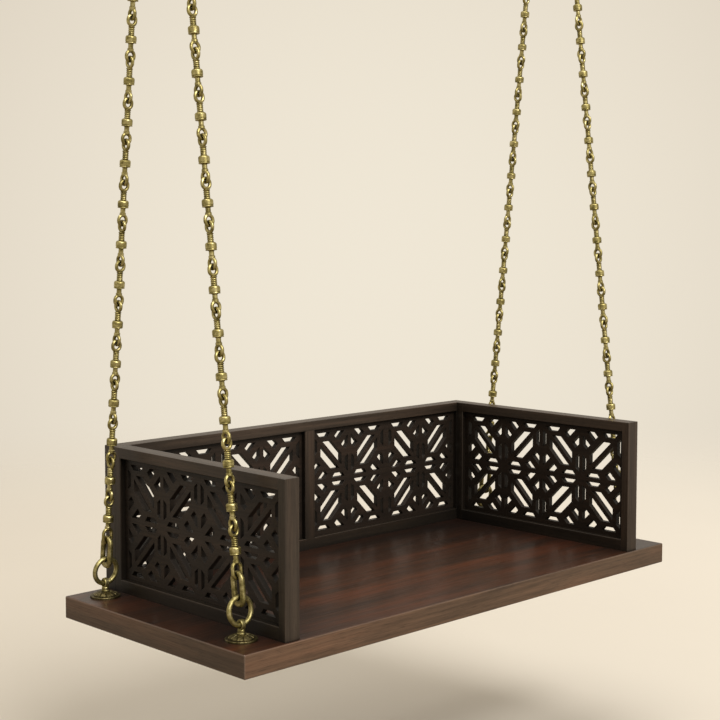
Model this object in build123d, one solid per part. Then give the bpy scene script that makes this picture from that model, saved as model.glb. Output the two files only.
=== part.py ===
"""Jhoola: a plank swing seat with pierced side and back panels, hung on four turned brass chains.

The model is drawn in the seat's own frame: x along the seat from its left end, y back from its
front edge, z up from its top face. Each piece is then moved into the part's frame, whose origin is
on the ceiling midway between the two ceiling plates, with the same directions. All in millimetres.
"""
from build123d import *
import os
from math import atan2, cos, degrees, hypot, pi, sqrt

# Seat plank
seat_length = 1372.0
seat_depth = 608.0
seat_thickness = 48.0
seat_edge_radius = 2.5

# Panels that stand on the seat
panel_height = 320.0
panel_thickness = 38.0
panel_end_inset = 107.0        # end of the seat to the outer face of a side panel
panel_front_inset = 6.0        # front edge of the seat to the front of a side panel
top_rail_height = 24.0
bottom_rail_height = 28.0
side_stile_width = 20.0
back_stile_width = 38.0
centre_stile_width = 32.0
outer_arris_radius = 1.2
opening_chamfer = 1.3

# Joinery of the panels
groove_depth = 8.0
board_thickness = 13.0
board_play = 0.4               # edge of a board to the bottom of its groove
joint_fit = 0.1                # clearance round tenons and boards
tenon_length = 14.0
centre_tenon_length = 10.0
tenon_outer_shoulder = 4.0
tenon_inner_shoulder = 2.0
tenon_end_gap = 0.5
dowel_diameter = 8.0
dowel_length = 30.0
dowel_depth_in_side = 10.0
dowel_height_shares = (0.28, 0.72)
bore_fit = 0.05                # radial clearance of dowels and screws
screw_length = 65.0
screw_diameter = 5.0
screw_head_diameter = 10.0
screw_head_height = 2.8
screw_point_length = 6.0
screw_recess_width = 1.1
screw_recess_length = 5.4
screw_recess_depth = 1.6
side_screw_count = 3
back_screw_count = 4
screw_end_margin = 60.0        # end of a panel to its first screw

# Lattice pattern, cut through the boards in square tiles
lattice_margin = 6.0           # tile to the rails above and below
back_tile_gap = 8.0
bar_half_width = 5.5           # bars along the tile's middle lines and borders
hub_half_width = 16.4          # solid square hubs at tile centre and corners
arm_slope_run = 9.0            # how far a D-shaped hole narrows towards its outer side
arm_corner_radius = 3.0
arm_end_gap = 3.0              # a D-shaped hole stops this far short of a quarter tile
slot_band_inset = 28.0         # diagonal slots to the tile's middle lines and borders
slot_near = 7.7                # inner side of a slot, measured along the tile's side from the diagonal
slot_far = 36.0
star_axis_gap = 6.0            # holes round the mid-side hubs to the hub's own axes
star_near = 11.7
star_far = 35.5
star_reach_past_quarter = 5.0

# Anchors through the seat
anchor_end_inset = 62.0
anchor_front_inset = 84.0
anchor_back_inset = 62.0       # rear anchors, from the back edge of the seat
shank_diameter = 10.0
shank_bore_clearance = 0.3
rosette_diameter = 65.0
rosette_rim_height = 4.0
cup_diameter = 53.0
rosette_height = 12.0
petal_count = 12
petal_groove_radius = 1.7
petal_notch_radius = 2.3
collar_diameter = 17.0
collar_height = 2.5
stem_diameter = 15.0
stem_height = 8.5
lug_thickness = 10.0
lug_width = 18.0
lug_height = 23.0
lug_edge_radius = 1.6
eye_clearance = 0.8            # radius of the lug's hole beyond the ring's wire
washer_diameter = 25.0
washer_thickness = 2.5
nut_across_flats = 17.0
nut_height = 8.0
nut_dome_height = 6.0
nut_edge_radius = 0.8

# Rings and connectors
ring_radius = 27.5             # to the middle of the wire
ring_wire = 10.4
connector_width = 37.0
connector_height = 72.0
connector_depth = 10.5
connector_hole_width = 15.0
connector_foot = 15.2
connector_crown = 10.5
connector_edge_radius = 4.5

# Chain links
links_per_chain = 23
contact_gap = 0.3              # least gap between two pieces that bear on each other
eye_width = 25.8
eye_straight = 1.6             # straight run of an eye's sides, between its two bends
eye_wire = 7.2
end_eye_width = 27.8
end_eye_straight = 9.2
end_eye_wire = 7.4
lower_neck_diameter = 10.4
lower_neck_length = 12.1
barrel_diameter = 23.0
barrel_height = 16.0
barrel_rim_height = 2.4
barrel_shoulder_radius = 4.0
ridge_diameter = 13.0
ridge_valley_diameter = 10.6
ridge_count = 4
ridge_length = 14.7
eye_base_diameter = 14.4
eye_base_height = 2.6
seam_turn = 45.0               # turns the seam of a link's body out of the planes of its eyes

# Ceiling fittings
hanger_radius = 30.0           # to the middle of the wire
hanger_wire = 10.0
hanger_eye_spread = 7.2        # middle of the hanger ring to the middle of a chain's top eye
staple_rod = 10.0
staple_span = 28.0             # between the middles of the staple's legs
staple_bend_radius = 7.0
staple_drop = 28.0             # ceiling plate to the middle of the staple's bar
staple_peg_diameter = 8.0
plate_length = 130.0
plate_width = 54.0
plate_thickness = 6.0
plate_bolt_spacing = 90.0
plate_bolt_bore = 9.0
plate_edge_radius = 1.5

# Densities in kg per cubic millimetre, for the balance of the seat
wood_density = 600e-9
brass_density = 8500e-9

# Worked out from the sizes above
back_length = seat_length - 2 * panel_end_inset
side_length = seat_depth - panel_front_inset - panel_thickness
opening_height = panel_height - top_rail_height - bottom_rail_height
tile_size = opening_height - 2 * lattice_margin
board_setback = (panel_thickness - board_thickness) / 2
groove_width = board_thickness + 2 * joint_fit
nut_bottom = -seat_thickness - washer_thickness - nut_height
eye_hole_radius = ring_wire / 2 + eye_clearance
lug_bottom = rosette_height + collar_height + stem_height - 5.0
eye_hole_height = lug_bottom + lug_height / 2
anchor_rows = {"front": anchor_front_inset, "back": seat_depth - anchor_back_inset}
anchor_sides = {"left": anchor_end_inset, "right": seat_length - anchor_end_inset}
FLUSH = (Align.MIN, Align.MIN, Align.MIN)
STANDING = (Align.CENTER, Align.CENTER, Align.MIN)


# ---------------------------------------------------------------- shared shapes
def block(x, y, z, length, depth, height):
    """Box from its lowest corner."""
    return Pos(x, y, z) * Box(length, depth, height, align=FLUSH)


def rod(x, y, z, diameter, height):
    """Upright cylinder from the middle of its lower end."""
    return Pos(x, y, z) * Cylinder(diameter / 2, height, align=STANDING)


def turned(start, *steps):
    """Solid turned about z. Each step is (radius, height), with an outward bulge where it is an arc."""
    here = start
    edges = []
    for radius, height, *bulge in steps:
        there = (radius, height)
        edges.append(SagittaArc(here, there, -bulge[0]) if bulge else Line(here, there))
        here = there
    edges.append(Line(here, start))
    return revolve(Plane.XZ * make_face(edges), Axis.Z)


def spaced(count, length, margin):
    """Places of count things along a length, the first and last at a margin from its ends."""
    step = (length - 2 * margin) / (count - 1)
    return [margin + i * step for i in range(count)]


# ---------------------------------------------------------------- panels
def opening_cutter(start, width):
    """What one opening takes out of its frame: the groove for the board and the eased arrises."""
    middle = start + width / 2
    middle_height = bottom_rail_height + opening_height / 2
    cutter = block(
        start - groove_depth,
        (panel_thickness - groove_width) / 2,
        bottom_rail_height - groove_depth,
        width + 2 * groove_depth,
        groove_width,
        opening_height + 2 * groove_depth,
    )
    overshoot = 0.5
    for depth, facing in ((opening_chamfer, -1), (panel_thickness - opening_chamfer, 1)):
        plane = Plane(origin=(middle, depth, middle_height), x_dir=(1, 0, 0), z_dir=(0, facing, 0))
        outline = plane * Rectangle(width, opening_height)
        cutter += extrude(outline, amount=opening_chamfer + overshoot, taper=-45)
    return cutter


def rail(start, length, bottom, height, tenon_bottom, tenon_top):
    """Rail between two stiles, with a tenon at each end, and the mortises that the tenons need."""
    body = block(start, 0, bottom, length, panel_thickness, height)
    tenon = (panel_thickness - board_thickness) / 2
    tenons = block(
        start - tenon_length, tenon, tenon_bottom,
        length + 2 * tenon_length, board_thickness, tenon_top - tenon_bottom,
    )
    mortise_length = tenon_length + tenon_end_gap
    mortises = block(
        start - mortise_length, tenon - joint_fit, tenon_bottom - joint_fit,
        length + 2 * mortise_length, groove_width, tenon_top - tenon_bottom + 2 * joint_fit,
    )
    return body, tenons, mortises


def tile_holes():
    """Corner points and corner radii of the holes in one tile, measured from its centre."""
    half = tile_size / 2
    quarter = tile_size / 4
    bar, hub = bar_half_width, hub_half_width
    low, high = slot_band_inset, half - slot_band_inset
    slot = [(low + slot_near, low), (low + slot_far, low), (high, high - slot_far), (high, high - slot_near)]
    reach = quarter - arm_end_gap
    arm = [(hub, bar), (reach, bar), (reach - arm_slope_run, hub), (hub + arm_slope_run, hub)]
    total = quarter + star_reach_past_quarter
    star = [
        (star_axis_gap + star_near, star_axis_gap),
        (star_axis_gap + star_far, star_axis_gap),
        ((total + star_far) / 2, (total - star_far) / 2),
        ((total + star_near) / 2, (total - star_near) / 2),
    ]
    arm_radii = [0, 0, arm_corner_radius, arm_corner_radius]
    square = [0, 0, 0, 0]
    quadrant = []
    for flip in (False, True):
        def turn(points):
            return [(v, u) if flip else (u, v) for u, v in points]

        quadrant.append((turn(slot), square))
        quadrant.append((turn(arm), arm_radii))
        quadrant.append(([(half - u, half - v) for u, v in turn(arm)], arm_radii))
        quadrant.append(([(half - u, v) for u, v in turn(star)], square))
        quadrant.append(([(u, half - v) for u, v in turn(star)], square))
    holes = []
    for across, along in ((1, 1), (-1, 1), (-1, -1), (1, -1)):
        holes += [([(across * u, along * v) for u, v in points], radii) for points, radii in quadrant]
    return holes


def lattice_board(bay_width, tile_gap):
    """Pierced board for one opening, standing with its lowest front corner at the origin."""
    reach = groove_depth - board_play
    width = bay_width + 2 * reach
    height = opening_height + 2 * reach
    tile_count = int((bay_width + tile_gap) // (tile_size + tile_gap))
    pattern_width = tile_count * (tile_size + tile_gap) - tile_gap
    first_centre = (width - pattern_width + tile_size) / 2
    holes = []
    for tile in range(tile_count):
        centre = first_centre + tile * (tile_size + tile_gap)
        for points, radii in tile_holes():
            outline = [(centre + u, height / 2 + v) for u, v in points]
            if any(radii):
                holes.append(Wire(FilletPolyline(*outline, radius=radii, close=True).edges()))
            else:
                holes.append(Wire(Polyline(*outline, close=True).edges()))
    border = Wire(Polyline((0, 0), (width, 0), (width, height), (0, height), close=True).edges())
    flat = extrude(Face(border, holes), amount=board_thickness)
    return Pos(0, board_thickness, 0) * Rot(90, 0, 0) * flat


def panel_envelope(length, eased_ends):
    """The outside of a whole panel, its outer arrises rounded except where it stands or butts."""
    outside = block(0, 0, 0, length, panel_thickness, panel_height)
    eased = outside.edges().filter_by(Axis.X).group_by(Axis.Z)[-1]
    uprights = outside.edges().filter_by(Axis.Z).group_by(Axis.X)
    tops = outside.edges().filter_by(Axis.Y).group_by(Axis.Z)[-1].sort_by(Axis.X)
    if "start" in eased_ends:
        eased = eased + uprights[0] + [tops[0]]
    if "end" in eased_ends:
        eased = eased + uprights[-1] + [tops[-1]]
    return fillet(eased, outer_arris_radius)


def panel_pieces(length, stile_width, bay_count, tile_gap, eased_ends):
    """Stiles, rails and boards of one panel that runs along x, with its front face at y = 0."""
    inner = length - 2 * stile_width
    middle_width = centre_stile_width if bay_count == 2 else 0.0
    bay_width = (inner - middle_width) / bay_count
    bays = [stile_width + i * (bay_width + middle_width) for i in range(bay_count)]
    openings = [opening_cutter(start, bay_width) for start in bays]
    outside = panel_envelope(length, eased_ends)
    top_start = panel_height - top_rail_height
    top, top_tenons, top_mortises = rail(
        stile_width, inner, top_start, top_rail_height,
        top_start + groove_depth + tenon_inner_shoulder, panel_height - tenon_outer_shoulder,
    )
    bottom, bottom_tenons, bottom_mortises = rail(
        stile_width, inner, 0.0, bottom_rail_height,
        tenon_outer_shoulder, bottom_rail_height - groove_depth - tenon_inner_shoulder,
    )
    start_stile = block(0, 0, 0, stile_width, panel_thickness, panel_height)
    end_stile = Pos(length - stile_width, 0, 0) * start_stile
    top_rail = (top & outside) + top_tenons
    bottom_rail = (bottom & outside) + bottom_tenons
    start_stile = (start_stile & outside) - top_mortises - bottom_mortises
    end_stile = (end_stile & outside) - top_mortises - bottom_mortises
    for cutter in openings:
        top_rail -= cutter
        bottom_rail -= cutter
        start_stile -= cutter
        end_stile -= cutter
    pieces = {"top_rail": top_rail, "bottom_rail": bottom_rail, "start": start_stile, "end": end_stile}
    if bay_count == 2:
        stile_start = bays[0] + bay_width
        edge = (middle_width - board_thickness) / 2
        tenon_height = opening_height + 2 * centre_tenon_length
        mortise_height = tenon_height + 2 * tenon_end_gap
        tenon = block(
            stile_start + edge, board_setback, bottom_rail_height - centre_tenon_length,
            board_thickness, board_thickness, tenon_height,
        )
        mortise = block(
            stile_start + edge - joint_fit,
            board_setback - joint_fit,
            bottom_rail_height - centre_tenon_length - tenon_end_gap,
            groove_width, groove_width, mortise_height,
        )
        centre = block(stile_start, 0, bottom_rail_height, middle_width, panel_thickness, opening_height)
        centre += tenon
        for cutter in openings:
            centre -= cutter
        pieces["centre"] = centre
        pieces["top_rail"] -= mortise
        pieces["bottom_rail"] -= mortise
    board = lattice_board(bay_width, tile_gap)
    reach = groove_depth - board_play
    for i, start in enumerate(bays):
        pieces[f"board_{i}"] = Pos(start - reach, board_setback, bottom_rail_height - reach) * board
    return pieces


def wood_screw(clearance):
    """Countersunk screw, head down, from the underside of the seat; clearance swells it for its bore."""
    radius = screw_diameter / 2 + clearance
    head = screw_head_diameter / 2 + clearance
    shape = turned(
        (0, 0), (head, 0), (radius, screw_head_height),
        (radius, screw_length - screw_point_length), (0.3, screw_length + clearance), (0, screw_length + clearance),
    )
    if clearance == 0:
        for turn in (0, 90):
            shape -= Rot(0, 0, turn) * Box(screw_recess_length, screw_recess_width, 2 * screw_recess_depth)
    return shape


# ---------------------------------------------------------------- anchors
def rosette():
    """Lotus cup under an eye bolt: a thin rim disc and a domed cup parted into petals."""
    bore = (shank_diameter + shank_bore_clearance) / 2
    rim = rosette_diameter / 2
    cup = cup_diameter / 2
    crown = collar_diameter / 2 + 1.0
    cup_foot = rosette_rim_height + 1.6
    shape = turned(
        (bore, 0), (rim, 0), (rim, rosette_rim_height - 1.2), (rim - 1.2, rosette_rim_height, 0.35),
        (cup, rosette_rim_height), (cup, cup_foot), (crown, rosette_height, 1.4), (bore, rosette_height),
    )
    slope = degrees(atan2(rosette_height - cup_foot, cup - crown))
    groove_length = hypot(rosette_height - cup_foot, cup - crown) + 3.0
    groove = Pos(cup + 1.0, 0, cup_foot + 0.9) * Rot(0, -90 + slope, 0) * Cylinder(
        petal_groove_radius, groove_length, align=STANDING
    )
    notch = rod(cup + 0.8, 0, rosette_rim_height, 2 * petal_notch_radius, rosette_height)
    for i in range(petal_count):
        shape -= Rot(0, 0, i * 360 / petal_count) * (groove + notch)
    return shape


def eye_bolt():
    """Bolt with a flat eye; its hole runs along x, and its shank goes down through rosette and seat."""
    shank = rod(0, 0, nut_bottom, shank_diameter, rosette_height - nut_bottom)
    collar_top = rosette_height + collar_height
    stem_top = collar_top + stem_height
    body = turned(
        (0, rosette_height), (collar_diameter / 2 - 0.6, rosette_height),
        (collar_diameter / 2 - 0.6, collar_top, 0.6), (stem_diameter / 2, collar_top),
        (stem_diameter / 2, stem_top - 3.0), (stem_diameter / 2 - 1.5, stem_top), (0, stem_top),
    )
    outline = Plane.YZ * Ellipse(lug_width / 2, lug_height / 2)
    lug = extrude(outline, amount=lug_thickness / 2, both=True)
    lug = fillet(lug.edges().filter_by(GeomType.ELLIPSE), lug_edge_radius)
    body = shank + body + Pos(0, 0, eye_hole_height) * lug
    return body - Pos(0, 0, eye_hole_height) * Rot(0, 90, 0) * Cylinder(eye_hole_radius, 2 * lug_thickness)


def anchor_washer():
    hole = (shank_diameter + shank_bore_clearance) / 2
    top = -seat_thickness
    low = top - washer_thickness
    rim = washer_diameter / 2
    return turned((hole, low), (rim - 0.5, low), (rim, low + 0.5), (rim, top), (hole, top))


def anchor_nut():
    """Domed nut under the washer, bored as deep as the shank reaches."""
    top = -seat_thickness - washer_thickness
    hexagon = RegularPolygon(nut_across_flats / 2, 6, major_radius=False)
    body = Pos(0, 0, top - nut_height) * extrude(hexagon, amount=nut_height)
    low = top - nut_height
    flat = nut_across_flats / 2
    corner = flat / cos(pi / 6)
    body &= turned((0, low), (flat, low), (corner, low + nut_edge_radius), (corner, top), (0, top))
    dome = turned((0, low - nut_dome_height), (flat - 0.6, low, 2.6), (0, low))
    return body + dome - rod(0, 0, nut_bottom - 0.3, shank_diameter + 2 * joint_fit, seat_thickness)


# ---------------------------------------------------------------- rings, connectors, links
def big_ring():
    """Round ring standing in the xz plane, the middle of its lowest wire at the origin."""
    return Pos(0, 0, ring_radius) * Rot(90, 0, 0) * Torus(ring_radius, ring_wire / 2)


def connector():
    """Heavy oval link in the yz plane, heaviest at its foot; its inner foot is at the origin."""
    hole_height = connector_height - connector_foot - connector_crown
    outer = Pos(0, connector_height / 2 - connector_foot) * Rot(0, 0, 90)
    inner = Pos(0, hole_height / 2) * Rot(0, 0, 90)
    outline = outer * SlotOverall(connector_height, connector_width)
    outline -= inner * SlotOverall(hole_height, connector_hole_width)
    body = extrude(Plane.YZ * outline, amount=connector_depth / 2, both=True)
    return fillet(body.edges(), connector_edge_radius)


def eye(width, straight, wire):
    """Oval eye in the xz plane; the middle of its lowest wire is at the origin."""
    bend = (width - wire) / 2
    shape = Part()
    for side, level in ((1, bend), (-1, bend + straight)):
        section = Pos(side * bend, 0, level) * Circle(wire / 2)
        shape += revolve(section, Axis((0, 0, level), (0, 1, 0)), 180)
        shape += rod(side * bend, 0, bend, wire, straight)
    return shape


def link(lower, upper):
    """Turned link between two eyes, each (width, straight, wire); its lowest wire is at the origin.

    Gives the link and the height of its highest wire.
    """
    foot = lower[0] + lower[1] - lower[2] / 2
    neck = lower_neck_diameter / 2
    barrel = barrel_diameter / 2
    ridge = ridge_diameter / 2
    valley = ridge_valley_diameter / 2
    base = eye_base_diameter / 2
    barrel_foot = foot + lower_neck_length
    barrel_top = barrel_foot + barrel_height
    shoulder = barrel_top - barrel_shoulder_radius
    rim_top = barrel_foot + barrel_rim_height
    ridge_step = ridge_length / ridge_count
    steps = [
        (neck + 1.4, foot - lower[2] / 2), (neck + 1.4, foot + 1.0), (neck, foot + 2.6),
        (neck, barrel_foot - 1.6), (neck + 2.2, barrel_foot), (barrel - 0.8, barrel_foot),
        (barrel - 0.8, rim_top, 0.8), (barrel - 0.9, rim_top + 0.5), (barrel, rim_top + 1.3),
        (barrel, shoulder), (valley + 0.4, barrel_top, 1.4), (valley, barrel_top),
    ]
    for i in range(ridge_count):
        steps.append((valley, barrel_top + (i + 1) * ridge_step, ridge - valley))
    base_foot = barrel_top + ridge_length
    steps += [(base, base_foot + eye_base_height, 0.3), (base - 1.6, base_foot + eye_base_height + 1.4)]
    steps.append((0, base_foot + eye_base_height + 1.4))
    body = Rot(0, 0, seam_turn) * turned((0, foot - lower[2] / 2), *steps)
    upper_foot = base_foot + eye_base_height + upper[2] / 2 - 0.5
    reach = upper_foot + upper[0] + upper[1] - upper[2]
    return eye(*lower) + body + Pos(0, 0, upper_foot) * eye(*upper), reach


# ---------------------------------------------------------------- one leg, from anchor to hanger ring
regular_eye = (eye_width, eye_straight, eye_wire)
end_eye = (end_eye_width, end_eye_straight, end_eye_wire)
first_link, first_reach = link(end_eye, regular_eye)
regular_link, regular_reach = link(regular_eye, regular_eye)
last_link, last_reach = link(regular_eye, end_eye)
contact_count = links_per_chain + 3


def leg_places(gap):
    """Heights along a leg, from the middle of the lug's hole, when every contact has this gap.

    Gives the lowest wire of the ring, the inner foot of the connector, the lowest wire of each
    link, and the middle of the hanger ring's wire.
    """
    half_lug = lug_thickness / 2
    rise = ring_radius - sqrt(ring_radius**2 - half_lug**2)
    steepened = ring_wire / 2 * (1 / cos(half_lug / ring_radius) - 1)
    ring_low = eye_hole_radius - ring_wire / 2 - rise - steepened - gap
    connector_low = ring_low + 2 * ring_radius - ring_wire / 2 - gap
    hole_top = connector_low + connector_height - connector_foot - connector_crown
    lowest = hole_top - gap - end_eye_wire / 2
    links = [lowest]
    top = lowest + first_reach
    for i in range(1, links_per_chain):
        lowest = top - eye_wire - gap
        links.append(lowest)
        top = lowest + (last_reach if i == links_per_chain - 1 else regular_reach)
    hanger = top - end_eye_wire / 2 - hanger_wire / 2 - gap
    return ring_low, connector_low, links, hanger


tight_leg = leg_places(contact_gap)[3]


# ---------------------------------------------------------------- wooden pieces
def side_panel(outer_x):
    """Pieces of a side panel whose left face is at outer_x."""
    place = Pos(outer_x + panel_thickness, panel_front_inset, 0) * Rot(0, 0, 90)
    pieces = panel_pieces(side_length, side_stile_width, 1, 0.0, ("start",))
    return {name: place * piece for name, piece in pieces.items()}


left_face = panel_end_inset
right_face = seat_length - panel_end_inset - panel_thickness
back_face = seat_depth - panel_thickness
side_names = {
    "top_rail": "top_rail", "bottom_rail": "bottom_rail", "start": "front_stile",
    "end": "back_stile", "board_0": "jali",
}
back_names = {
    "top_rail": "top_rail", "bottom_rail": "bottom_rail", "start": "left_stile", "end": "right_stile",
    "centre": "centre_stile", "board_0": "left_jali", "board_1": "right_jali",
}
wood = {}
for side, face in (("left", left_face), ("right", right_face)):
    for key, piece in side_panel(face).items():
        wood[f"{side}_panel_{side_names[key]}"] = piece
for key, piece in panel_pieces(back_length, back_stile_width, 2, back_tile_gap, ("start", "end")).items():
    wood[f"back_panel_{back_names[key]}"] = Pos(panel_end_inset, back_face, 0) * piece

# Dowels lie along y through the joint between a side panel and the back panel.
dowel_places = [
    (face + panel_thickness / 2, back_face - dowel_depth_in_side, share * panel_height)
    for face in (left_face, right_face)
    for share in dowel_height_shares
]


def dowels(clearance, end_gap):
    body = Cylinder(dowel_diameter / 2 + clearance, dowel_length + 2 * end_gap, align=STANDING)
    return [Pos(x, y - end_gap, z) * Rot(-90, 0, 0) * body for x, y, z in dowel_places]


dowel_bores = dowels(bore_fit, tenon_end_gap)
for name in ("left_panel_back_stile", "right_panel_back_stile", "back_panel_left_stile", "back_panel_right_stile"):
    for bore in dowel_bores:
        wood[name] -= bore

# Screws rise through the seat into the bottom rails.
side_screw_rows = [panel_front_inset + y for y in spaced(side_screw_count, side_length, screw_end_margin)]
back_screw_row = [panel_end_inset + x for x in spaced(back_screw_count, back_length, screw_end_margin)]
screw_places = {
    "left_panel": [(left_face + panel_thickness / 2, y) for y in side_screw_rows],
    "right_panel": [(right_face + panel_thickness / 2, y) for y in side_screw_rows],
    "back_panel": [(x, back_face + panel_thickness / 2) for x in back_screw_row],
}
screw_bore = wood_screw(bore_fit)
screws = {}
seat_bores = []
for panel, places in screw_places.items():
    screws[panel] = [Pos(x, y, -seat_thickness) * wood_screw(0) for x, y in places]
    for x, y in places:
        bore = Pos(x, y, -seat_thickness) * screw_bore
        seat_bores.append(bore)
        wood[f"{panel}_bottom_rail"] -= bore

anchor_places = {
    (side, row): (x, y)
    for side, x in anchor_sides.items()
    for row, y in anchor_rows.items()
}
for x, y in anchor_places.values():
    seat_bores.append(rod(x, y, -2 * seat_thickness, shank_diameter + shank_bore_clearance, 3 * seat_thickness))

plank = block(0, 0, -seat_thickness, seat_length, seat_depth, seat_thickness)
plank = fillet(plank.edges(), seat_edge_radius)
for bore in seat_bores:
    plank -= bore
wood["seat_plank"] = plank

# ---------------------------------------------------------------- balance and suspension
bolt, cup, washer, nut = eye_bolt(), rosette(), anchor_washer(), anchor_nut()
ring, oval = big_ring(), connector()
link_mass = brass_density * regular_link.volume
anchor_mass = brass_density * sum(piece.volume for piece in (bolt, cup, washer, nut, ring, oval))
hung_mass = 4 * (anchor_mass + links_per_chain * link_mass / 2)
wood_mass = wood_density * sum(piece.volume for piece in wood.values())
wood_moment = wood_density * sum(piece.volume * piece.center(CenterOf.MASS).Y for piece in wood.values())
anchor_middle = sum(anchor_rows.values()) / 2
# The hanger rings stand over the seat's centre of mass, so that it hangs level.
hook_y = (wood_moment + hung_mass * anchor_middle) / (wood_mass + hung_mass)

hanger_points = {"front": hook_y - hanger_eye_spread, "back": hook_y + hanger_eye_spread}
runs = {row: hanger_points[row] - anchor_rows[row] for row in anchor_rows}
leg_rise = sqrt(tight_leg**2 - max(abs(run) for run in runs.values()) ** 2)
eye_rise = sqrt(hanger_radius**2 - hanger_eye_spread**2)
hanger_low = eye_hole_height + leg_rise
hanger_centre = hanger_low + eye_rise
swing_axis_height = hanger_centre + hanger_radius - hanger_wire / 2 - staple_rod / 2 - contact_gap
plate_bottom = swing_axis_height + staple_drop
ceiling_height = plate_bottom + plate_thickness
to_part = Pos(-seat_length / 2, -hook_y, -ceiling_height)


def write(name, *solids):
    """Write one node, moved into the part's frame."""
    placed = [to_part * solid for solid in solids]
    shape = placed[0] if len(placed) == 1 else Compound(children=[s for p in placed for s in p.solids()])
    export_step(shape, f"parts/{name}.step")


def chain(leg, row_gap):
    """Links of one leg, each turned a quarter from the one below it."""
    lows = leg_places(row_gap)[2]
    made = []
    for i, low in enumerate(lows):
        shape = first_link if i == 0 else last_link if i == links_per_chain - 1 else regular_link
        made.append(leg * Pos(0, 0, low) * Rot(0, 0, 90 * (i % 2)) * shape)
    return made


def staple():
    """Bar that carries the hanger ring, with legs up to the ceiling plate and riveted pegs through it."""
    half = staple_span / 2
    corners = [(-half, plate_bottom), (-half, swing_axis_height), (half, swing_axis_height), (half, plate_bottom)]
    line = FilletPolyline(*corners, radius=staple_bend_radius)
    path = Wire((Plane.XZ * line).edges())
    section = Plane(origin=path @ 0, z_dir=path % 0) * Circle(staple_rod / 2)
    body = sweep(section, path=path)
    for x in (-half, half):
        body += rod(x, 0, plate_bottom, staple_peg_diameter, plate_thickness)
    return body


def ceiling_plate():
    """Plate under the ceiling, with two open bolt holes and the bores for the staple's pegs."""
    outline = Rot(0, 0, 90) * SlotOverall(plate_length, plate_width)
    plate = extrude(outline, amount=plate_thickness)
    plate = fillet(plate.edges().group_by(Axis.Z)[0], plate_edge_radius)
    for y in (-plate_bolt_spacing / 2, plate_bolt_spacing / 2):
        plate -= rod(0, y, -1, plate_bolt_bore, plate_thickness + 2)
    for x in (-staple_span / 2, staple_span / 2):
        plate -= rod(x, 0, -1, staple_peg_diameter + 2 * joint_fit, plate_thickness + 2)
    return Pos(0, 0, plate_bottom) * plate


# ---------------------------------------------------------------- writing the pieces
os.makedirs("parts", exist_ok=True)
for name, piece in wood.items():
    write(name, piece)
write("corner_dowels", *dowels(0, 0))
for panel, group in screws.items():
    write(f"{panel}_screws", *group)
write("anchor_washers", *[Pos(x, y, 0) * washer for x, y in anchor_places.values()])
write("anchor_nuts", *[Pos(x, y, 0) * nut for x, y in anchor_places.values()])

chain_parts = {"lower": slice(0, 8), "middle": slice(8, 16), "upper": slice(16, links_per_chain)}
for (side, row), (x, y) in anchor_places.items():
    run = runs[row]
    length = hypot(run, leg_rise)
    row_gap = contact_gap + (tight_leg - length) / contact_count
    leg = Pos(x, y, eye_hole_height) * Rot(-degrees(atan2(run, leg_rise)), 0, 0)
    ring_low, connector_low, _, _ = leg_places(row_gap)
    write(f"{side}_{row}_rosette", Pos(x, y, 0) * cup)
    write(f"{side}_{row}_eye_bolt", Pos(x, y, 0) * bolt)
    write(f"{side}_{row}_ring", leg * Pos(0, 0, ring_low) * ring)
    write(f"{side}_{row}_connector", leg * Pos(0, 0, connector_low) * oval)
    links = chain(leg, row_gap)
    for part_name, span in chain_parts.items():
        write(f"{side}_{row}_{part_name}_chain", *links[span])

for side, x in anchor_sides.items():
    hanger = Rot(0, 90, 0) * Torus(hanger_radius, hanger_wire / 2)
    write(f"{side}_hanger_ring", Pos(x, hook_y, hanger_centre) * hanger)
    write(f"{side}_staple", Pos(x, hook_y, 0) * staple())
    write(f"{side}_ceiling_plate", Pos(x, hook_y, 0) * ceiling_plate())

crown_middle = leg_places(contact_gap)[1] + connector_height - connector_foot - connector_crown / 2
connector_axis_height = eye_hole_height + crown_middle * leg_rise / tight_leg
print("hook line", round(hook_y, 2), "ceiling above seat", round(ceiling_height, 2))
print("swing axis", round(swing_axis_height, 2), "hanger low wire", round(hanger_low, 2))
print("connector axis", round(connector_axis_height, 2), "moving wood kg", round(wood_mass, 2))
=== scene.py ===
"""Looks of the jhoola swing: finishes for every piece, a pale floor, soft light and the camera."""
import math

import bpy
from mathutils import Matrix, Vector


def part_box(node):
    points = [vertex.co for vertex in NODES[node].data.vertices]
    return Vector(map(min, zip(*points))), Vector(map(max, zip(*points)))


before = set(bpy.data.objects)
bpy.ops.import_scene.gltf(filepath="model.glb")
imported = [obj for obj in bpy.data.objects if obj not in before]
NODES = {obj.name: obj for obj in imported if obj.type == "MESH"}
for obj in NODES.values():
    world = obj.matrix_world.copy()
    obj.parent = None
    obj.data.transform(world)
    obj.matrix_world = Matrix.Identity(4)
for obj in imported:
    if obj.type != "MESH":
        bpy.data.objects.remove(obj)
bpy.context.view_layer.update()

SEAT_LOW, SEAT_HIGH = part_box("seat_plank")
SEAT_FRONT_LEFT = Vector((SEAT_LOW.x, SEAT_LOW.y, SEAT_HIGH.z))  # corner of the seat's top face
SEAT_MIDDLE = Vector(((SEAT_LOW.x + SEAT_HIGH.x) / 2, (SEAT_LOW.y + SEAT_HIGH.y) / 2, SEAT_HIGH.z))

# Camera, placed from the seat's front left top corner
CAMERA_OFFSET = Vector((-1.7291, -2.0866, 0.8175))
CAMERA_YAW = math.radians(44.24)
CAMERA_PITCH = math.radians(-4.09)
CAMERA_LENS = 73.28  # in millimetres, like the sensor's width
CAMERA_SHIFT = -0.05
SENSOR_WIDTH = 36.0
CLIP_START = 0.05
CLIP_END = 60.0

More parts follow.
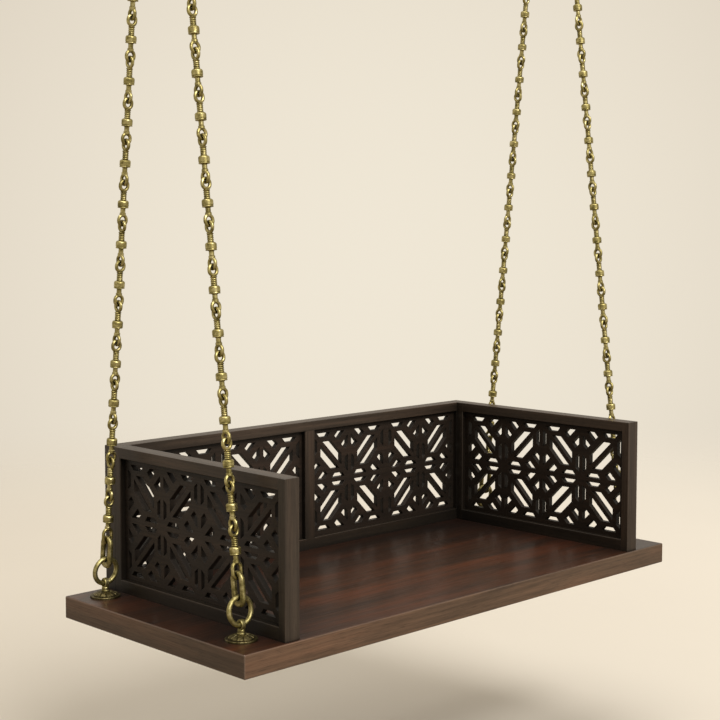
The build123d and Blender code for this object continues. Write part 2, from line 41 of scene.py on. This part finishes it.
# Lamps: azimuth from the swing's front towards its right end, elevation and spread, all in degrees
LAMPS = {
    "key": {"azimuth": -8.0, "elevation": 38.0, "spread": 34.0, "strength": 2.3},
    "top": {"azimuth": -70.0, "elevation": 78.0, "spread": 44.0, "strength": 1.3},
}
LAMP_COLOUR = (1.0, 0.99, 0.975)
LAMP_DISTANCE = 3.0  # of the lamp's object; its light is the same from any distance

# Surroundings: a cream backdrop with a glow behind the swing, an ambient light, and what gloss reflects
BACKDROP_GLOW = (0.865, 0.795, 0.665)
BACKDROP_EDGE = (0.74, 0.665, 0.55)
GLOW_AZIMUTH = 135.0
GLOW_ELEVATION = -1.7
GLOW_EDGE_COSINE = 0.95  # of the angle between the glow's middle and its edge
AMBIENT_COLOUR = (1.0, 0.845, 0.62, 1.0)
AMBIENT_STRENGTH = 0.30
REFLECTED_COLOUR = (1.0, 0.92, 0.79, 1.0)
REFLECTED_STRENGTH = 0.62

# Floor: a disc under the swing, with left and right as the camera sees it; its colour is painted lighter
# towards the right as painted light
SEAT_TO_FLOOR = 0.50  # from the seat's top
FLOOR_RADIUS = 6.5
FLOOR_CORNERS = 96
FLOOR_FADE_START = 2.0  # from the floor's middle
# painted light: the floor's tone on its darker left and on its lighter right
FLOOR_PAINTED_DIM_SIDE = (0.670, 0.612, 0.518)
FLOOR_PAINTED_BRIGHT_SIDE = (0.815, 0.755, 0.655)
FLOOR_GRADIENT = (0.18, -0.18, 0.0)  # share of the lighter painted tone that each metre along X, Y and Z adds
FLOOR_MIDDLE_SHARE = 0.6  # share of the lighter painted tone beneath the seat's middle
FLOOR_MOTTLE_SCALE = 1.2
FLOOR_BOUNCE = (0.30, 0.26, 0.20)  # the floor's colour for the light that it throws back

# Woods: tones run from dark to light, and the shade tint is painted shade on a face that other wood stands
# close to
SEAT_WOOD = {
    "tones": ((0.066, 0.042, 0.027), (0.122, 0.075, 0.046), (0.182, 0.099, 0.058)),
    "roughness": 0.46,
    "coat": 0.44,
    "painted_shade_tint": (0.16, 0.14, 0.11),
    "figure_scale": 19.0,
    "figure_stretch": 9.0,
    # painted shade on the seat's top, which is also redder
    "painted_top_shade": (0.43, 0.25, 0.145),
    "end_shade": (0.77, 0.80, 0.84),
    "edge_radius": 0.0024,
    # painted highlight along the seat's edges
    "painted_edge_highlight": (0.38, 0.31, 0.25),
}
FRAME_WOOD = {
    "tones": ((0.037, 0.027, 0.019), (0.058, 0.042, 0.030), (0.083, 0.056, 0.039)),
    "roughness": 0.40,
    "coat": 0.12,
    "painted_shade_tint": (0.13, 0.14, 0.13),
}
LATTICE_WOOD = {
    "tones": ((0.025, 0.017, 0.012), (0.037, 0.025, 0.0175), (0.054, 0.033, 0.022)),
    "roughness": 0.46,
    "coat": 0.05,
    "painted_shade_tint": (0.34, 0.36, 0.34),
}
DOWEL_WOOD = {
    "tones": ((0.30, 0.19, 0.10), (0.42, 0.28, 0.15), (0.52, 0.36, 0.21)),
    "roughness": 0.6,
    "coat": 0.0,
    "painted_shade_tint": (0.13, 0.14, 0.13),
}
# Wood by the last word of a piece's name
WOODS = {
    "plank": SEAT_WOOD, "rail": FRAME_WOOD, "stile": FRAME_WOOD,
    "jali": LATTICE_WOOD, "dowels": DOWEL_WOOD,
}
PAINTED_SHADE_REACH = 0.38  # metres over which neighbouring wood paints shade on a face
HALF_PAINTED_SHADE = (0.52, 0.50, 0.46)  # painted shade tint between the open wood and the deepest painted shade
GRAIN_STEP = (0.37, 0.61, 0.83)  # from one piece's place in the grain pattern to the next one's

# Metals: tones run from patina to rubbed metal
AGED_BRASS = ((0.20, 0.165, 0.055), (0.42, 0.355, 0.14), (0.68, 0.59, 0.30))
HANDLED_BRASS = ((0.17, 0.14, 0.048), (0.37, 0.315, 0.13), (0.60, 0.52, 0.27))
TARNISHED_BRASS = ((0.060, 0.048, 0.020), (0.145, 0.118, 0.052), (0.34, 0.28, 0.14))
ZINC = ((0.26, 0.25, 0.23), (0.42, 0.41, 0.38))
RECESS_REACH = 0.006  # metres over which neighbouring brass darkens a recess


# ---------------------------------------------------------------- node helpers
def feed(tree, socket, value):
    """Give a socket a link or a plain value."""
    if isinstance(value, bpy.types.NodeSocket):
        tree.links.new(value, socket)
    else:
        socket.default_value = value


def add(tree, kind, settings=None, **sockets):
    """Node of that kind; sockets get values or links by name, with _ for the spaces of the name."""
    made = tree.nodes.new("ShaderNode" + kind)
    for key, value in (settings or {}).items():
        setattr(made, key, value)
    for key, value in sockets.items():
        feed(tree, made.inputs[key.replace("_", " ")], value)
    return made


def calculate(tree, kind, operation, *values):
    """Number that a Math or VectorMath node works out from links or plain values."""
    made = add(tree, kind, {"operation": operation})
    for socket, value in zip(made.inputs, values):
        feed(tree, socket, value)
    return made.outputs["Value"]


def ramp(tree, factor, *stops):
    """Colour ramp; each stop is (position, grey or (r, g, b))."""
    made = add(tree, "ValToRGB", Fac=factor)
    elements = made.color_ramp.elements
    while len(elements) < len(stops):
        elements.new(0.5)
    for element, (position, colour) in zip(elements, stops):
        element.position = position
        rgb = colour if isinstance(colour, tuple) else (colour,) * 3
        element.color = (*rgb, 1.0)
    return made.outputs["Color"]


def mix(tree, blend, factor, first, second):
    """Colour mix of two links or colours."""
    made = add(tree, "Mix", {"data_type": "RGBA", "blend_type": blend})
    for index, value in ((0, factor), (6, first), (7, second)):  # the node's sockets for colours
        feed(tree, made.inputs[index], (*value, 1.0) if isinstance(value, tuple) else value)
    return made.outputs[2]


def tint(tree, colour, strength, factor, *stops):
    """Colour multiplied by a ramp of the factor, as far as strength says."""
    return mix(tree, "MULTIPLY", strength, colour, ramp(tree, factor, *stops))


def mix_shaders(tree, factor, first, second):
    """Shader that goes from the first to the second as the factor rises."""
    made = add(tree, "MixShader", Fac=factor)
    tree.links.new(first, made.inputs[1])
    tree.links.new(second, made.inputs[2])
    return made.outputs[0]


def material(name):
    """New material with a Principled shader; gives the material, its tree and the shader."""
    made = bpy.data.materials.new(name)
    made.use_nodes = True
    tree = made.node_tree
    tree.nodes.clear()
    shader = add(tree, "BsdfPrincipled")
    add(tree, "OutputMaterial", Surface=shader.outputs[0])
    return made, tree, shader


# ---------------------------------------------------------------- materials
def ring_lines(tree, place, sawn_end):
    """Coordinates that run across the board on its sawn ends, where the rings show as level lines."""
    parts = add(tree, "SeparateXYZ", Vector=place).outputs
    turned = add(tree, "CombineXYZ", X=parts["Y"], Y=parts["X"], Z=parts["Z"]).outputs["Vector"]
    return mix(tree, "MIX", sawn_end, place, turned)


def wood(name, along, shift, tones, roughness, coat, painted_shade_tint, figure_scale=34.0, figure_stretch=20.0,
         painted_top_shade=None, end_shade=None, edge_radius=0.0014, painted_edge_highlight=None):
    """Stained open-pored hardwood with its grain along one axis.

    shift is the piece's place in the grain pattern. The shade tint is painted shade on faces that other
    wood stands close to, the top shade is painted shade on what faces up, and end_shade tints the sawn
    ends of a board that lies along X. The edge highlight is a painted highlight along the edges.
    """
    made, tree, shader = material(name)
    link = tree.links.new
    place = add(tree, "TexCoord").outputs["Object"]
    facing = add(tree, "SeparateXYZ", Vector=add(tree, "TexCoord").outputs["Normal"]).outputs
    if end_shade:
        endwise = calculate(tree, "Math", "ABSOLUTE", facing["X"])
        sawn_end = ramp(tree, endwise, (0.60, 0.0), (0.80, 1.0))
        place = ring_lines(tree, place, sawn_end)

    def grain(stretch, **noise):
        """Noise drawn out along the grain."""
        scale = tuple(1.0 / stretch if axis == along else 1.0 for axis in "XYZ")
        drawn_out = add(tree, "Mapping", Vector=place, Scale=scale, Location=shift).outputs["Vector"]
        return add(tree, "TexNoise", Vector=drawn_out, **noise).outputs["Fac"]

    figure = grain(figure_stretch, Scale=figure_scale, Detail=4.0, Roughness=0.55, Distortion=0.4)
    lines = grain(stretch=40.0, Scale=120.0, Detail=2.0, Roughness=0.6, Distortion=0.2)
    fibre = grain(stretch=34.0, Scale=330.0, Detail=3.0, Roughness=0.7)
    pores = grain(stretch=22.0, Scale=900.0, Detail=1.0, Roughness=0.5)
    cloud = grain(stretch=3.0, Scale=4.0, Detail=2.0, Roughness=0.5)
    pore_mask = ramp(tree, pores, (0.30, 0.45), (0.42, 1.0))

    # The figure, with lines, fibre, clouding and pores over it
    colour = ramp(tree, figure, *zip((0.28, 0.5, 0.74), tones))
    colour = tint(tree, colour, 0.8, lines, (0.34, 0.76), (0.62, 1.16))
    colour = tint(tree, colour, 0.75, fibre, (0.3, 0.72), (0.7, 1.2))
    colour = tint(tree, colour, 0.8, cloud, (0.3, (0.90, 0.94, 0.96)), (0.7, (1.14, 1.04, 1.0)))
    colour = mix(tree, "MULTIPLY", 0.6, colour, pore_mask)

    # Painted shade on what faces up, the sawn ends, painted shade where other wood stands close, and a
    # painted highlight on the edges
    # painted shade: what faces up is darker than the sides; it is also redder, with stronger streaks of
    # the figure
    if painted_top_shade:
        upward = ramp(tree, facing["Z"], (0.55, 0.0), (0.95, 1.0))
        streaks = ramp(tree, figure, (0.36, (0.80, 0.86, 0.90)), (0.66, (1.24, 1.10, 1.02)))
        colour = mix(tree, "MULTIPLY", upward, colour, mix(tree, "MULTIPLY", 1.0, streaks, painted_top_shade))
    if end_shade:
        colour = mix(tree, "MULTIPLY", sawn_end, colour, end_shade)
    # painted shade: ambient occlusion darkens the colour where other wood stands close
    contact_shade = add(tree, "AmbientOcclusion", {"samples": 6}, Distance=PAINTED_SHADE_REACH).outputs["AO"]
    colour = tint(tree, colour, 1.0, contact_shade, (0.40, painted_shade_tint), (0.72, HALF_PAINTED_SHADE), (1.0, 1.0))
    rounded = add(tree, "Bevel", {"samples": 4}, Radius=edge_radius).outputs["Normal"]
    # painted highlight: a light line along the edges, where the bevelled normal turns away from the flat
    # one
    if painted_edge_highlight:
        flat = add(tree, "NewGeometry").outputs["Normal"]
        likeness = calculate(tree, "VectorMath", "DOT_PRODUCT", flat, rounded)
        edge_highlight_mask = ramp(tree, likeness, (0.88, 0.75), (0.995, 0.0))
        colour = mix(tree, "MIX", edge_highlight_mask, colour, painted_edge_highlight)

    link(colour, shader.inputs["Base Color"])
    link(ramp(tree, fibre, (0.25, roughness + 0.10), (0.75, roughness - 0.06)), shader.inputs["Roughness"])
    relief = mix(tree, "MULTIPLY", 1.0, fibre, pore_mask)
    bump = add(tree, "Bump", Height=relief, Strength=0.25, Distance=0.0004, Normal=rounded)
    link(bump.outputs["Normal"], shader.inputs["Normal"])
    shader.inputs["Specular IOR Level"].default_value = 0.25
    shader.inputs["Coat Weight"].default_value = coat
    shader.inputs["Coat Roughness"].default_value = 0.26
    return made


def brass(name, tones, roughness):
    """Aged cast brass: patches of olive patina and of rubbed metal, darker in the recesses."""
    made, tree, shader = material(name)
    link = tree.links.new
    place = add(tree, "TexCoord").outputs["Object"]
    patina = add(tree, "TexNoise", Vector=place, Scale=90.0, Detail=5.0, Roughness=0.65).outputs["Fac"]
    grit = add(tree, "TexNoise", Vector=place, Scale=700.0, Detail=3.0, Roughness=0.6).outputs["Fac"]
    recess = add(tree, "AmbientOcclusion", {"samples": 6}, Distance=RECESS_REACH).outputs["AO"]
    colour = ramp(tree, patina, *zip((0.36, 0.52, 0.68), tones))
    link(tint(tree, colour, 0.9, recess, (0.35, 0.22), (0.85, 1.0)), shader.inputs["Base Color"])
    worn = ramp(tree, patina, (0.35, roughness + 0.14), (0.65, roughness - 0.07))
    link(worn, shader.inputs["Roughness"])
    shader.inputs["Metallic"].default_value = 1.0
    relief = mix(tree, "MIX", 0.4, patina, grit)
    bump = add(tree, "Bump", Height=relief, Strength=0.35, Distance=0.0006)
    link(bump.outputs["Normal"], shader.inputs["Normal"])
    return made


def zinc(name, tones):
    """Zinc-plated steel of the screws, washers and nuts beneath the seat."""
    made, tree, shader = material(name)
    link = tree.links.new
    place = add(tree, "TexCoord").outputs["Object"]
    spangle = add(tree, "TexNoise", Vector=place, Scale=260.0, Detail=4.0, Roughness=0.6).outputs["Fac"]
    link(ramp(tree, spangle, *zip((0.35, 0.65), tones)), shader.inputs["Base Color"])
    link(ramp(tree, spangle, (0.3, 0.45), (0.7, 0.28)), shader.inputs["Roughness"])
    shader.inputs["Metallic"].default_value = 1.0
    bump = add(tree, "Bump", Height=spangle, Strength=0.15, Distance=0.0003)
    link(bump.outputs["Normal"], shader.inputs["Normal"])
    return made


# ---------------------------------------------------------------- dressing the pieces
def grain_of(node):
    """Axis that the grain of a wooden node follows: Y in the dowels, elsewhere its longest side."""
    if node == "corner_dowels":
        return "Y"
    low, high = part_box(node)
    sides = high - low
    return "XYZ"[max(range(3), key=lambda i: sides[i])]


def dress():
    """Give every CAD node the finish that goes with the last word of its name."""
    aged = brass("aged_brass", AGED_BRASS, roughness=0.34)
    handled = brass("handled_brass", HANDLED_BRASS, roughness=0.40)
    tarnished = brass("tarnished_brass", TARNISHED_BRASS, roughness=0.42)
    steel = zinc("zinc_steel", ZINC)
    metals = {
        "chain": aged, "staple": aged,
        "ring": handled, "connector": handled, "bolt": handled,
        "rosette": tarnished, "plate": tarnished,
        "screws": steel, "washers": steel, "nuts": steel,
    }
    wooden = 0
    for name, thing in NODES.items():
        kind = name.split("_")[-1]
        if kind in metals:
            finish = metals[kind]
        else:
            wooden += 1
            shift = tuple(step * wooden for step in GRAIN_STEP)
            finish = wood("wood_" + name, grain_of(name), shift, **WOODS[kind])
        thing.data.materials.clear()
        thing.data.materials.append(finish)


# ---------------------------------------------------------------- surroundings
def direction(azimuth, elevation):
    """Direction by two angles in degrees; the azimuth goes from the swing's front to its right end."""
    around, up = math.radians(azimuth), math.radians(elevation)
    return Vector((math.sin(around) * math.cos(up), -math.cos(around) * math.cos(up), math.sin(up)))


def sun(name, azimuth, elevation, spread, strength):
    """Broad distant light from that direction."""
    lamp = bpy.data.lights.new(name, "SUN")
    lamp.energy = strength
    lamp.angle = math.radians(spread)
    lamp.color = LAMP_COLOUR
    thing = bpy.data.objects.new(name, lamp)
    bpy.context.scene.collection.objects.link(thing)
    towards = direction(azimuth, elevation)
    thing.location = SEAT_MIDDLE + LAMP_DISTANCE * towards
    thing.rotation_euler = (-towards).to_track_quat("-Z", "Y").to_euler()


def set_world():
    """Cream surroundings for the camera and for reflections, and a plain ambient light for the rest."""
    world = bpy.data.worlds.new("surroundings")
    bpy.context.scene.world = world
    world.use_nodes = True
    tree = world.node_tree
    tree.nodes.clear()
    looking = add(tree, "TexCoord").outputs["Generated"]
    glow_middle = direction(GLOW_AZIMUTH, GLOW_ELEVATION)
    glow = calculate(tree, "VectorMath", "DOT_PRODUCT", looking, glow_middle)
    seen = ramp(tree, glow, (GLOW_EDGE_COSINE, BACKDROP_EDGE), (1.0, BACKDROP_GLOW))
    backdrop = add(tree, "Background", Color=seen, Strength=1.0).outputs[0]
    ambient = add(tree, "Background", Color=AMBIENT_COLOUR, Strength=AMBIENT_STRENGTH).outputs[0]
    reflected = add(tree, "Background", Color=REFLECTED_COLOUR, Strength=REFLECTED_STRENGTH).outputs[0]
    rays = add(tree, "LightPath").outputs
    direct = calculate(tree, "Math", "MAXIMUM", rays["Is Camera Ray"], rays["Is Transmission Ray"])
    indirect = mix_shaders(tree, rays["Is Glossy Ray"], ambient, reflected)
    add(tree, "OutputWorld", Surface=mix_shaders(tree, direct, indirect, backdrop))


def make_floor():
    """Pale floor that fades into the surroundings and is see-through from beneath."""
    bpy.ops.mesh.primitive_circle_add(
        vertices=FLOOR_CORNERS, radius=FLOOR_RADIUS, fill_type="NGON",
        location=(SEAT_MIDDLE.x, SEAT_MIDDLE.y, SEAT_MIDDLE.z - SEAT_TO_FLOOR),
    )
    floor = bpy.context.object
    floor.name = "studio_floor"
    made, tree, shader = material("studio_floor")
    link = tree.links.new
    place = add(tree, "TexCoord").outputs["Object"]
    mottle = add(tree, "TexNoise", Vector=place, Scale=FLOOR_MOTTLE_SCALE, Detail=2.0).outputs["Fac"]
    # painted light: the floor grows lighter towards the right as the camera sees it
    across = calculate(tree, "VectorMath", "DOT_PRODUCT", place, FLOOR_GRADIENT)
    share = calculate(tree, "Math", "ADD", across, FLOOR_MIDDLE_SHARE)
    colour = ramp(tree, share, (0.0, FLOOR_PAINTED_DIM_SIDE), (1.0, FLOOR_PAINTED_BRIGHT_SIDE))
    colour = tint(tree, colour, 0.5, mottle, (0.3, 0.97), (0.7, 1.0))
    seen = add(tree, "LightPath").outputs["Is Camera Ray"]
    link(mix(tree, "MIX", seen, FLOOR_BOUNCE, colour), shader.inputs["Base Color"])
    shader.inputs["Roughness"].default_value = 0.9
    shader.inputs["Specular IOR Level"].default_value = 0.1
    distance = calculate(tree, "VectorMath", "LENGTH", place)
    fade = add(tree, "MapRange", {"interpolation_type": "SMOOTHSTEP"}, Value=distance,
               From_Min=FLOOR_FADE_START, From_Max=FLOOR_RADIUS)
    beneath = add(tree, "NewGeometry").outputs["Backfacing"]
    see_through = calculate(tree, "Math", "MAXIMUM", fade.outputs["Result"], beneath)
    clear = add(tree, "BsdfTransparent").outputs[0]
    output = next(node for node in tree.nodes if node.type == "OUTPUT_MATERIAL")
    link(mix_shaders(tree, see_through, shader.outputs[0], clear), output.inputs["Surface"])
    floor.data.materials.append(made)


def make_lights():
    """The lamps of the scene."""
    for name, values in LAMPS.items():
        sun(name, **values)


def make_camera():
    """Camera of the photo's view."""
    data = bpy.data.cameras.new("camera")
    data.lens = CAMERA_LENS
    data.shift_y = CAMERA_SHIFT
    data.sensor_width = SENSOR_WIDTH
    data.clip_start = CLIP_START
    data.clip_end = CLIP_END
    thing = bpy.data.objects.new("camera", data)
    bpy.context.scene.collection.objects.link(thing)
    thing.location = SEAT_FRONT_LEFT + CAMERA_OFFSET
    thing.rotation_euler = (math.pi / 2 + CAMERA_PITCH, 0.0, -CAMERA_YAW)
    bpy.context.scene.camera = thing


make_camera()
dress()
set_world()
make_floor()
make_lights()
bpy.context.scene.view_settings.view_transform = "Standard"
